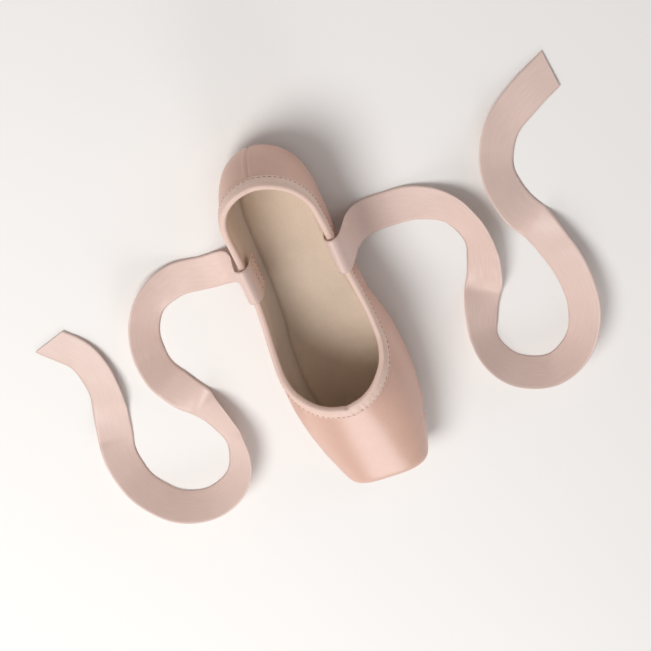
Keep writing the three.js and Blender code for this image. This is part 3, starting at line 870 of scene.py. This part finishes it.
class POINTE_OT_stitches(bpy.types.Operator):
    """Sews the stitch rows of the binding and of the side seams"""

    bl_idname = "pointe.stitches"
    bl_label = "Stitches"
    bl_options = {"REGISTER", "UNDO"}

    def execute(self, context):
        pitch, length, thread = size_mm("stitch_pitch"), size_mm("stitch_length"), size_mm("thread")
        stuff = thread_material()
        drops, points, normals = collar_lines()
        j = int(np.argmin(np.abs(drops - STITCH_DROP)))
        part = (drops[j] - STITCH_DROP) / (drops[j] - drops[j - 1])
        line = points[:, j] * (1 - part) + points[:, j - 1] * part
        line = line + normals[:, j] * (GAP + size_mm("binding_wall") - 0.25)
        bm = bmesh.new()
        sew(bm, close_ring(line), close_ring(normals[:, j]), pitch, length, thread, closed=True)
        piece = finish_piece("binding_stitches", bm, [stuff])
        half = size_mm("seam_width") / 2
        for side, name in ((1, "right"), (-1, "left")):
            bm = bmesh.new()
            for offset in (-half * SEAM_ROW, half * SEAM_ROW):
                row, ways = seam_line(offset, side)
                sew(bm, row, ways, pitch * 0.8, length * 0.8, thread * 0.9)
            piece = finish_piece("side_seam_stitches_" + name, bm, [stuff])
        return {"FINISHED"}


# ---- Outsole and insole ---------------------------------------------------------------------------


# The pressed marks: the gap between rows, a crescent's radius and its groove's width, in pitches.
ROW_GAP, MARK_RADIUS, MARK_WIDTH = 0.86, 0.335, 0.1
MARK_FLATTENED = 1.12  # how much wider than long a crescent is
MARK_OPENS = (2.4, 1.8)  # angles between which a crescent fades out, radians
MARKS_START, MARKS_END = (28, 31), (141, 137)  # stations over which the pattern comes and goes
SHADE_BETWEEN_MARKS = 0.28  # painted shade on the leather between the marks, 1 being as dark as a mark
EDGE_ROUND, EDGE_WIDTH = 0.8, 1.2  # how the outsole's edge is rounded off
INSOLE_THICKNESS = 1.8


def plate_points(rows, strips, across):
    """Plan points of a plate: strips from front to back, crowded at the round ends."""
    start, end = rows["at"][0], rows["at"][-1]
    share = 0.5 - 0.5 * np.cos(np.linspace(0.02, math.pi - 0.02, strips))
    at = start + (end - start) * share
    side = np.sin(np.linspace(-math.pi / 2, math.pi / 2, across))
    x = along(rows, "at", "half", at)[:, None] * side[None]
    return x, np.repeat(at[:, None], across, 1)


def emboss(x, at):
    """Crescents pressed into the forefoot in offset rows: how deep, 0 to 1, and where they are."""
    pitch = size_mm("emboss_pitch")
    row_gap = pitch * ROW_GAP
    row = np.round(at / row_gap)
    shift = (row % 2) * pitch / 2
    centre_x = np.round((x - shift) / pitch) * pitch + shift
    dx, dy = x - centre_x, at - row * row_gap
    away, angle = np.hypot(dx, dy * MARK_FLATTENED), np.arctan2(dx, -dy)
    ring = hump(away - MARK_RADIUS * pitch, MARK_WIDTH * pitch) * smooth_step(*MARK_OPENS, np.abs(angle))
    area = smooth_step(*MARKS_START, at) * smooth_step(*MARKS_END, row * row_gap)
    inside = smooth_step(0.3, 1.6, along(SOLE, "at", "half", at) - np.abs(x))
    return ring * area * inside, area


class POINTE_OT_outsole(bpy.types.Operator):
    """Builds the leather outsole, with the crescents pressed into its forefoot"""

    bl_idname = "pointe.outsole"
    bl_label = "Outsole"
    bl_options = {"REGISTER", "UNDO"}

    def execute(self, context):
        x, at = plate_points(SOLE, 420, 100)
        top = underside(x, at) - GAP
        bottom = np.maximum(0, top - size_mm("sole_thickness"))
        pressed, patterned = emboss(x, at)
        half = along(SOLE, "at", "half", at)
        inset = np.minimum(half - np.abs(x), np.minimum(at - SOLE["at"][0], SOLE["at"][-1] - at) * 1.5)
        slope = 1 - np.clip(inset / EDGE_WIDTH, 0, 1)
        round_off = EDGE_ROUND * (1 - np.sqrt(np.clip(1 - slope**2, 0, 1)))
        bottom = bottom + round_off + pressed * size_mm("emboss_depth")
        low = np.stack([x, at, bottom], -1)
        high = np.stack([x, at, top - 0.25 * round_off], -1)
        ring = closed_ends(np.concatenate([low, high[:, ::-1], low[:, :1]], 1))
        # Painted shade: the marks and the leather between them are darkened, and the side edges, the top
        # against the upper and both ends take the dark colour, partly the burnished edge and partly the shade
        # in the crevice under the upper.
        marks = np.maximum(pressed, SHADE_BETWEEN_MARKS * patterned)
        marks[:, [0, -1]] = 1
        marks = np.concatenate([marks, np.ones_like(x), marks[:, :1]], 1)
        shaded_end = np.ones_like(marks[:1])
        marks = np.concatenate([shaded_end, marks, shaded_end], 0)
        piece = grid_piece("outsole_leather", ring, [leather_material()], attribute=("pressed", marks))
        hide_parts("outsole")
        return {"FINISHED"}


class POINTE_OT_insole(bpy.types.Operator):
    """Builds the insole, lying on the turned-in edge of the upper"""

    bl_idname = "pointe.insole"
    bl_label = "Insole"
    bl_options = {"REGISTER", "UNDO"}

    def execute(self, context):
        x, at = plate_points(INSOLE, 160, 60)
        steeper = 1 + 0.22 * plan_reach(x, at) ** 3
        low = underside(x, at) + (wall_at(at) + GAP) * steeper
        half = along(INSOLE, "at", "half", at)
        inset = np.minimum(half - np.abs(x), np.minimum(at - INSOLE["at"][0], INSOLE["at"][-1] - at))
        ball = hump(np.hypot(x / 18, (at - 78) / 26), 1)
        heel = hump(np.hypot(x / 13, (at - 196) / 16), 1)
        tread = 0.5 * ball + 0.4 * heel
        high = low + INSOLE_THICKNESS - tread - 0.7 * hump(inset, 1.0)
        top, under = np.stack([x, at, high], -1), np.stack([x, at, low], -1)
        ring = closed_ends(np.concatenate([top, under[:, ::-1], top[:, :1]], 1))
        piece = grid_piece("insole_lining", ring, [insole_material()])
        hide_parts("insole")
        return {"FINISHED"}


# ---- Ribbons --------------------------------------------------------------------------------------
# x is measured out from the shoe's middle on either side, lift from the floor to the ribbon's low
# edge, or to its middle where it hangs.
RIBBON_START = (
    (22.3, 159, 18), (22.5, 159, 28), (23.2, 159, 35.8), (26.8, 159, 40), (31, 159, 37), (33.4, 159, 27),
    (36, 159, 13), (42.5, 159, 3.4),
)
RIBBON_RIGHT = (
    (56, 159, 1), (74, 157, 1.6), (92, 146, 1.6), (100, 124, 1), (96, 100, 1.4), (87, 78, 2.4),
    (83, 54, 1.2), (93, 34, 1), (114, 26, 1), (134, 37, 1.2), (144, 60, 2.2), (144, 86, 2.4),
    (137, 112, 1.2), (127, 136, 1), (124, 160, 1), (133, 182, 1.8), (151, 196, 2.2), (170, 206, 1),
)
RIBBON_LEFT = (
    (56, 159, 1), (76, 161, 1.6), (95, 153, 1.6), (107, 134, 1), (109, 110, 1.2), (101, 87, 2.2),
    (90, 65, 1.4), (86, 41, 1), (96, 19, 1), (117, 9, 1.4), (139, 15, 2), (154, 34, 1.2), (158, 59, 1),
    (153, 84, 2), (147, 108, 2.2), (150, 132, 1.2), (164, 150, 1),
)
MOST_TILT = 1.05  # how far a ribbon turns up on its edge in its tightest bends, radians
TILT_BEND = 42  # bend radius at which it has turned most of the way
SOFT_TURN = 0.12  # softens the lift where a ribbon rolls from one edge to the other
SELVEDGE, SELVEDGE_AT, SELVEDGE_WIDTH = 0.12, 0.93, 0.06  # the woven edge's thickness and its place
CUT_SLANT, CUT_OVER = 4, 16  # how far a cut end slants to each side, over its last millimetres
CAP_INSET = 0.2  # keeps the rounding of the shading to the very end
FLOOR_CLEARANCE = 0.15


def route_at(rows, u):
    """Point and direction on the smooth curve through a route's rows, at u from 0 to 1."""
    count = len(rows) - 1
    i = min(int(u * count), count - 1)
    t = u * count - i
    before = rows[i - 1] if i > 0 else 2 * rows[0] - rows[1]
    after = rows[i + 2] if i + 2 <= count else 2 * rows[count] - rows[count - 1]
    p, q = rows[i], rows[i + 1]
    leave, arrive = (q - before) / 2, (after - p) / 2
    point = (
        (2 * t**3 - 3 * t**2 + 1) * p + (t**3 - 2 * t**2 + t) * leave
        + (3 * t**2 - 2 * t**3) * q + (t**3 - t**2) * arrive
    )
    way = (
        (6 * t**2 - 6 * t) * p + (3 * t**2 - 4 * t + 1) * leave
        + (6 * t - 6 * t**2) * q + (3 * t**2 - 2 * t) * arrive
    )
    return point, way / np.linalg.norm(way)


def ribbon_frames(rows, side, steps):
    """Middle line, direction across and face direction of a ribbon, at even steps of its route."""
    rows = np.array([(x * side, at, lift) for x, at, lift in (*RIBBON_START, *rows)])
    on_floor = (len(RIBBON_START) + 0.5) / (len(rows) - 1)
    width = size_mm("ribbon_width")
    frames = []
    for i in range(steps + 1):
        u = i / steps
        point, forward = route_at(rows, u)
        heading = np.array([side, 0, 0])
        bend = 0
        if u > on_floor - 0.03:
            before, way_before = route_at(rows, u - 0.02)
            after, way_after = route_at(rows, min(1, u + 0.02))
            flat = np.array([forward[0], forward[1], 0]) / math.hypot(forward[0], forward[1])
            part = smooth_step(on_floor - 0.03, on_floor + 0.03, u)
            heading = heading * (1 - part) + flat * part
            heading = heading / np.linalg.norm(heading)
            turned = math.atan2(way_after[1], way_after[0]) - math.atan2(way_before[1], way_before[0])
            turned = math.atan2(math.sin(turned), math.cos(turned))
            bend = turned / np.linalg.norm(after - before)
        lies_flat = smooth_step(on_floor, on_floor + 0.12, u) * smooth_step(1, 0.8, u)
        tilt = -MOST_TILT * math.tanh(bend * TILT_BEND) * lies_flat
        level = Vector((-heading[1], heading[0], 0))
        across = Matrix.Rotation(tilt, 3, Vector(forward)) @ level
        face = across.cross(Vector(forward)).normalized()
        rise = (math.sqrt(math.sin(tilt) ** 2 + SOFT_TURN**2) - SOFT_TURN) * width / 2
        frames.append((point + np.array([0, 0, rise]), np.array(across), np.array(face)))
    return [np.array(part) for part in zip(*frames)]


def sew_ribbon_end(name, middle, across, face):
    """Sews a ribbon's inner end to the quarter with a small box of stitches."""
    width, thread = size_mm("ribbon_width"), size_mm("thread")
    run = run_of(middle)
    first, last = (int(np.argmin(np.abs(run - d))) for d in (1.8, 11))
    inset = width / 2 - 2
    corners = []
    for i, across_by in ((first, -inset), (first, inset), (last, inset), (last, -inset), (first, -inset)):
        corners.append(middle[i] + across[i] * across_by - face[i] * size_mm("ribbon_thickness") / 2)
    bm = bmesh.new()
    for start, end in zip(corners, corners[1:]):
        steps = np.linspace(0, 1, 12)[:, None]
        line = start * (1 - steps) + end * steps
        sew(bm, line, np.repeat(-face[first : first + 1], 12, 0), 2.4, 1.6, thread * 0.9)
    piece = finish_piece(name, bm, [thread_material()])


class POINTE_OT_ribbons(bpy.types.Operator):
    """Builds the two ankle ribbons, from inside the quarters over the binding to the floor"""

    bl_idname = "pointe.ribbons"
    bl_label = "Ribbons"
    bl_options = {"REGISTER", "UNDO"}

    def execute(self, context):
        stuff = ribbon_material()
        width, thick = size_mm("ribbon_width"), size_mm("ribbon_thickness")
        for name, rows, side in (("right", RIBBON_RIGHT, 1), ("left", RIBBON_LEFT, -1)):
            middle, across, face = ribbon_frames(rows, side, 420)
            u = np.linspace(-1, 1, 15)
            run = run_of(middle)
            selvedge = SELVEDGE * hump(np.abs(u) - SELVEDGE_AT, SELVEDGE_WIDTH)
            wave = np.array([0.5 * noise.noise(Vector((d / 23, side * 7, 0))) for d in run])
            points = middle[:, None] + across[:, None] * (u * width / 2)[None, :, None]
            lift = wave[:, None] * (u**2)[None] + selvedge[None]
            upper = points + face[:, None] * (thick / 2 + lift)[..., None]
            lower = points + face[:, None] * (-thick / 2 + lift * 0.6)[..., None]
            ring = np.concatenate([upper, lower[:, ::-1], upper[:, :1]], 1)
            slant = np.concatenate([u, u[::-1], u[:1]]) * CUT_SLANT
            end_way = (middle[-1] - middle[-4]) / np.linalg.norm(middle[-1] - middle[-4])
            share = smooth_step(run[-1] - CUT_OVER, run[-1], run)
            ring += share[:, None, None] * slant[None, :, None] * end_way[None, None]
            ring[..., 2] = np.maximum(ring[..., 2], FLOOR_CLEARANCE)
            for end, beside, way in ((-1, -2, middle[-1] - middle[-2]), (0, 1, middle[0] - middle[1])):
                ring[beside] = ring[end] - way / np.linalg.norm(way) * CAP_INSET
            piece = grid_piece("ankle_ribbon_" + name, closed_ends(ring), [stuff])
            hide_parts("ribbon_" + name)
            sew_ribbon_end("ribbon_stitches_" + name, middle, across, face)
        return {"FINISHED"}


# ---- Stage ----------------------------------------------------------------------------------------


CAMERA_BACK = (0.19, 0.46, 0.86)  # direction from the shoe to the camera
CAMERA_DISTANCE, CAMERA_ROLL = 0.9, 181  # metres, and degrees that bring the toe to the bottom
CAMERA_TARGET = (0.0, -0.004, 0.02)
FLOOR_REACH = 8


def aim(item, eye, target, roll=0.0):
    """Turns a camera or a light from the eye to the target."""
    way = (Vector(target) - Vector(eye)).to_track_quat("-Z", "Y")
    item.location = eye
    item.rotation_mode = "QUATERNION"
    item.rotation_quaternion = way @ Matrix.Rotation(roll, 3, "Z").to_quaternion()


def softbox(name, eye, target, size, power, tint=(1, 1, 1)):
    """A round soft light, its size in metres and its power in watts."""
    lamp = bpy.data.lights.new(name, "AREA")
    lamp.shape, lamp.size, lamp.energy, lamp.color = "DISK", size, power, tint
    item = bpy.data.objects.new(name, lamp)
    bpy.context.scene.collection.objects.link(item)
    aim(item, eye, target)


class POINTE_OT_stage(bpy.types.Operator):
    """Sets the camera, the pale floor and the soft studio light"""

    bl_idname = "pointe.stage"
    bl_label = "Stage"
    bl_options = {"REGISTER", "UNDO"}

    def execute(self, context):
        scene = context.scene
        lens = bpy.data.cameras.new("camera")
        lens.lens, lens.sensor_width = 85, 36
        lens.clip_start, lens.clip_end = 0.01, 20
        camera = bpy.data.objects.new("camera", lens)
        scene.collection.objects.link(camera)
        target = Vector(CAMERA_TARGET)
        eye = target + Vector(CAMERA_BACK).normalized() * CAMERA_DISTANCE
        aim(camera, eye, target, math.radians(CAMERA_ROLL))
        scene.camera = camera
        bm = bmesh.new()
        bmesh.ops.create_grid(bm, x_segments=2, y_segments=2, size=FLOOR_REACH)
        floor = link_mesh("floor", bm, [floor_material()])
        world = bpy.data.worlds.new("studio")
        world.use_nodes = True
        background = world.node_tree.nodes["Background"]
        background.inputs["Color"].default_value = (1.0, 0.99, 0.985, 1)
        background.inputs["Strength"].default_value = 0.32
        scene.world = world
        scene.view_settings.view_transform = "Standard"
        softbox("key", (-0.6, -0.1, 1.05), (0, -0.03, 0.03), size=0.8, power=9.9, tint=(1, 0.985, 0.965))
        softbox("front", (-0.16, -1.05, 0.42), (0, -0.06, 0.03), size=0.5, power=2.9)
        softbox("fill", (1.0, 0.35, 0.3), (0.02, 0.0, 0.02), size=0.7, power=1.5)
        return {"FINISHED"}


# ---- Panel and main -------------------------------------------------------------------------------
STEPS = (
    POINTE_OT_stage, POINTE_OT_ribbons, POINTE_OT_upper, POINTE_OT_binding,
    POINTE_OT_stitches, POINTE_OT_outsole, POINTE_OT_insole,
)


class POINTE_PT_panel(bpy.types.Panel):
    bl_label = "Pointe Shoe"
    bl_idname = "POINTE_PT_panel"
    bl_space_type = "VIEW_3D"
    bl_region_type = "UI"
    bl_category = "Pointe Shoe"

    def draw(self, context):
        layout = self.layout
        for group in (context.scene.pointe_sizes, context.scene.pointe_colours):
            box = layout.box()
            for name in group.__annotations__:
                box.prop(group, name)
        for step in STEPS:
            layout.operator(step.bl_idname)


CLASSES = (PointeSizes, PointeColours, *STEPS, POINTE_PT_panel)


def register():
    for item in CLASSES:
        bpy.utils.register_class(item)
    bpy.types.Scene.pointe_sizes = bpy.props.PointerProperty(type=PointeSizes)
    bpy.types.Scene.pointe_colours = bpy.props.PointerProperty(type=PointeColours)


def unregister():
    del bpy.types.Scene.pointe_colours
    del bpy.types.Scene.pointe_sizes
    for item in reversed(CLASSES):
        bpy.utils.unregister_class(item)


def main():
    register()
    bpy.ops.pointe.stage()
    bpy.ops.pointe.ribbons()
    bpy.ops.pointe.upper()
    bpy.ops.pointe.binding()
    bpy.ops.pointe.stitches()
    bpy.ops.pointe.outsole()
    bpy.ops.pointe.insole()


if __name__ == "__main__":
    main()
